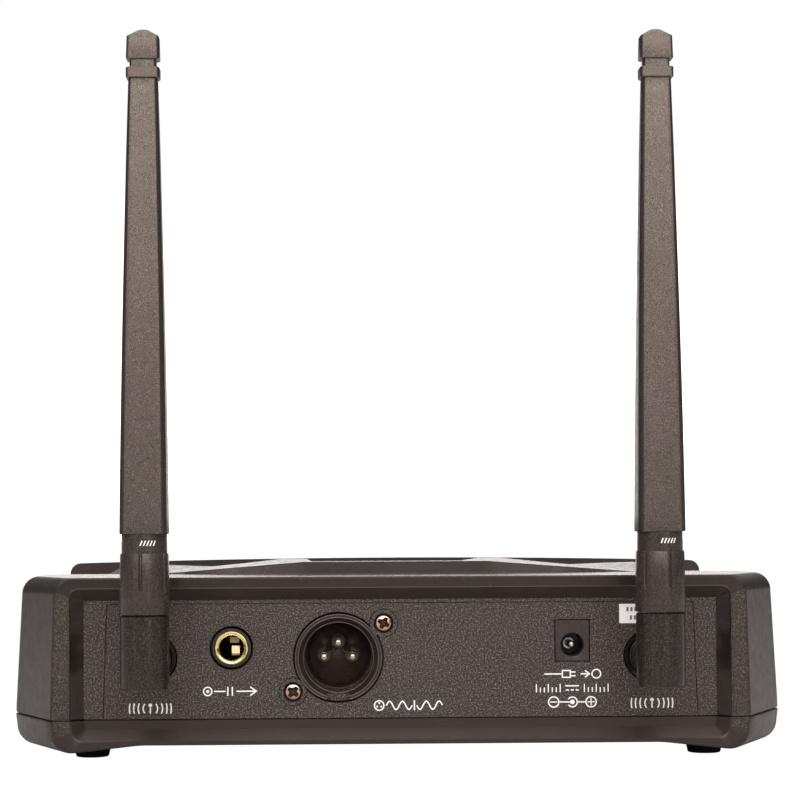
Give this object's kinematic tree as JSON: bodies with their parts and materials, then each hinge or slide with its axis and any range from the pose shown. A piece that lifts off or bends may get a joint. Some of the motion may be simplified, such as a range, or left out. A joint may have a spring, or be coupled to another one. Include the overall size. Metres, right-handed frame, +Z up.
{
  "type": "wireless receiver unit",
  "caption": "Low half-rack wireless microphone receiver: two-part plastic casing, audio, power and antenna sockets behind, swivelling antennas, display, knobs and keys in front.",
  "frame": {"origin": "on the table, under the middle of the object's bounding box (feet stand on Z = 0)", "axes": "+Z up; the front panel faces -Y; the socket panel and the antennas are at +Y; +X is along the width"},
  "size_m": [0.2116, 0.1906, 0.1895],
  "materials": {
    "casing": "fine satin grain",
    "rear_plate": "coarse spark-eroded grain",
    "rubber": "matt",
    "screw_steel": "zinc plated",
    "screw_copper": "copper-coloured plating",
    "board": "solder mask",
    "shield": "tinned",
    "black_gloss": "semi gloss",
    "black_matt": "matt",
    "antenna": "fine sanded",
    "gold": "gilt",
    "nickel": "nickel plated",
    "ptfe": "smooth",
    "window": "clear, tinted",
    "ir_red": "dark red, clear",
    "lens": "frosted",
    "capacitor": "sleeve",
    "cable": "flat cable",
    "ivory": "smooth",
    "label": "paper",
    "copper": "bare copper"
  },
  "bodies": {
    "receiver": {"top_cover": "casing", "bottom_cover": "casing", "rear_panel": "rear_plate", "front_panel": "casing", "rubber_feet": "rubber", "cover_screws": "screw_steel", "main_board": "board", "board_screws": "screw_steel", "display_board": "board", "display_screws": "screw_steel", "lcd_module": "shield", "display_window": "window", "ir_window": "ir_red", "led_lenses": "lens", "ribbon_cable": "cable", "rf_shields": "shield", "main_chips": "black_matt", "capacitors": "capacitor", "voltage_regulator": "black_matt", "xlr_shell": "black_gloss", "xlr_insert": "black_matt", "xlr_pins": "nickel", "xlr_screws": "screw_copper", "phone_jack_body": "black_matt", "phone_jack_bushing": "gold", "phone_jack_contacts": "gold", "dc_jack_housing": "black_matt", "dc_jack_pin": "screw_steel", "dc_jack_contacts": "screw_steel", "antenna_jacks": "nickel", "jack_washers": "screw_copper", "jack_insulators": "ptfe", "jack_contacts": "gold", "power_switch": "ivory", "volume_pots": "shield", "tact_switches": "black_matt", "rating_label": "label"},
    "antenna_a": {"antenna_plug_a": "nickel", "antenna_elbow_a": "antenna", "antenna_collar_a": "antenna", "antenna_band_a": "antenna", "antenna_whip_a": "antenna", "antenna_cap_a": "antenna", "antenna_element_a": "copper"},
    "antenna_b": {"antenna_plug_b": "nickel", "antenna_elbow_b": "antenna", "antenna_collar_b": "antenna", "antenna_band_b": "antenna", "antenna_whip_b": "antenna", "antenna_cap_b": "antenna", "antenna_element_b": "copper"},
    "volume_a": {"volume_knob_a": "black_gloss", "pot_shaft_a": "nickel"},
    "volume_b": {"volume_knob_b": "black_gloss", "pot_shaft_b": "nickel"},
    "power": {"power_button": "black_gloss"},
    "key_down": {"key_down": "black_matt"},
    "key_set": {"key_set": "black_matt"},
    "key_up": {"key_up": "black_matt"}
  },
  "joints": [
    {"name": "antenna_a_swivel", "type": "hinge", "parent": "receiver", "child": "antenna_a", "pos_m": [-0.0658, 0.08884, 0.0275], "axis": [0, 1, 0], "range_deg": [-90, 20]},
    {"name": "antenna_b_swivel", "type": "hinge", "parent": "receiver", "child": "antenna_b", "pos_m": [0.0658, 0.08884, 0.0275], "axis": [0, 1, 0], "range_deg": [-20, 90]},
    {"name": "volume_a_turn", "type": "hinge", "parent": "receiver", "child": "volume_a", "pos_m": [-0.062, -0.08326, 0.028], "axis": [0, -1, 0], "range_deg": [-150, 150]},
    {"name": "volume_b_turn", "type": "hinge", "parent": "receiver", "child": "volume_b", "pos_m": [0.062, -0.08326, 0.028], "axis": [0, -1, 0], "range_deg": [-150, 150]},
    {"name": "power_press", "type": "slide", "parent": "receiver", "child": "power", "axis": [0, 1, 0], "range_m": [0, 0.0012], "stiffness_N_per_m": 800, "springref_m": -0.0012},
    {"name": "key_down_press", "type": "slide", "parent": "receiver", "child": "key_down", "axis": [0, 1, 0], "range_m": [0, 0.0006], "stiffness_N_per_m": 1000, "springref_m": -0.0008},
    {"name": "key_set_press", "type": "slide", "parent": "receiver", "child": "key_set", "axis": [0, 1, 0], "range_m": [0, 0.0006], "stiffness_N_per_m": 1000, "springref_m": -0.0008},
    {"name": "key_up_press", "type": "slide", "parent": "receiver", "child": "key_up", "axis": [0, 1, 0], "range_m": [0, 0.0006], "stiffness_N_per_m": 1000, "springref_m": -0.0008}
  ]
}
